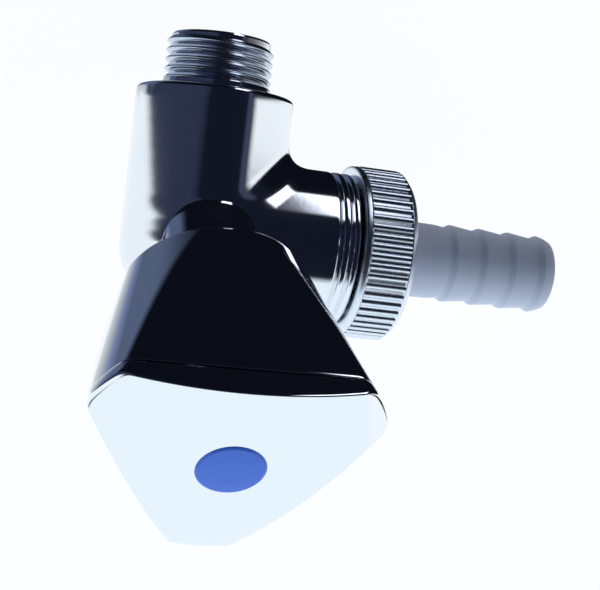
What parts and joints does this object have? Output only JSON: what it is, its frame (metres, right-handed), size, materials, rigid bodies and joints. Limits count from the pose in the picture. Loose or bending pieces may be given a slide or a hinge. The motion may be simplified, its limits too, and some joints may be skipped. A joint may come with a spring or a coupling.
{
  "type": "angle stop valve",
  "caption": "Chromed angle stop valve with a threaded inlet, tilted three-flat handle, backflow cartridge and barbed hose nozzle held by a knurled union nut.",
  "frame": {"origin": "centre of the inlet thread's end face, where the valve screws into the wall fitting", "axes": "+Y along the inlet axis, out of the valve towards the wall; +X along the outlet, towards the hose; +Z towards the handle's side, with the handle axis at 45 degrees between -Y and +Z"},
  "size_m": [0.0975, 0.0944, 0.0758],
  "materials": {
    "body_chrome": "polished chrome plating on brass",
    "handle_chrome": "mirror chrome plating",
    "nut_chrome": "chrome plating over a straight knurl",
    "brass": "machined brass",
    "steel": "stainless steel",
    "rubber": "black sealing rubber",
    "fibre": "red fibre gasket",
    "slip_plastic": "white low-friction plastic",
    "cartridge_plastic": "white moulded plastic",
    "poppet_plastic": "green moulded plastic",
    "nozzle_plastic": "light grey moulded plastic, satin",
    "blue_index": "glossy blue plastic"
  },
  "bodies": {
    "body": {"valve_body": "body_chrome", "bonnet": "brass", "bonnet_gasket": "fibre", "check_housing": "cartridge_plastic", "check_oring": "rubber", "check_guide": "cartridge_plastic", "check_spring": "steel"},
    "handle": {"handle_shell": "handle_chrome", "spline_insert": "brass", "handle_screw": "steel", "handle_cap": "handle_chrome", "index_disc": "blue_index", "spindle": "brass", "slip_washer": "slip_plastic", "spindle_oring_lower": "rubber", "spindle_oring_upper": "rubber", "spindle_clip": "steel"},
    "stopper": {"plunger": "brass", "seat_washer": "rubber", "washer_screw": "steel"},
    "poppet": {"check_poppet": "poppet_plastic", "check_seal": "rubber"},
    "union_washer": {"union_gasket": "fibre"},
    "nozzle": {"hose_nozzle": "nozzle_plastic"},
    "nut": {"union_nut": "nut_chrome"}
  },
  "joints": [
    {"name": "handle_turn", "type": "hinge", "parent": "body", "child": "handle", "pos_m": [0, -0.03477, 0.0045], "axis": [0, -0.7071, 0.7071], "range_deg": [0, 1020]},
    {"name": "stopper_lift", "type": "slide", "parent": "body", "child": "stopper", "axis": [0, -0.7071, 0.7071], "range_m": [0, 0.00497]},
    {"name": "poppet_slide", "type": "slide", "parent": "body", "child": "poppet", "axis": [1, 0, 0], "range_m": [0, 0.003], "stiffness_N_per_m": 80, "springref_m": -0.002, "deforming": ["check_spring"]},
    {"name": "union_travel", "type": "slide", "parent": "body", "child": "union_washer", "axis": [1, 0, 0], "range_m": [0, 0.00363]},
    {"name": "nut_turn", "type": "hinge", "parent": "union_washer", "child": "nut", "pos_m": [0.033, -0.0377, 0], "axis": [1, 0, 0], "range_deg": [0, 721]},
    {"name": "nozzle_swivel", "type": "hinge", "parent": "union_washer", "child": "nozzle", "pos_m": [0.035, -0.0377, 0], "axis": [1, 0, 0], "continuous": true}
  ],
  "couplings": [
    {"joint": "stopper_lift", "follows": "handle_turn", "m_per_rad": 0.00027852},
    {"joint": "nut_turn", "follows": "union_travel", "rad_per_m": 3463.7}
  ]
}
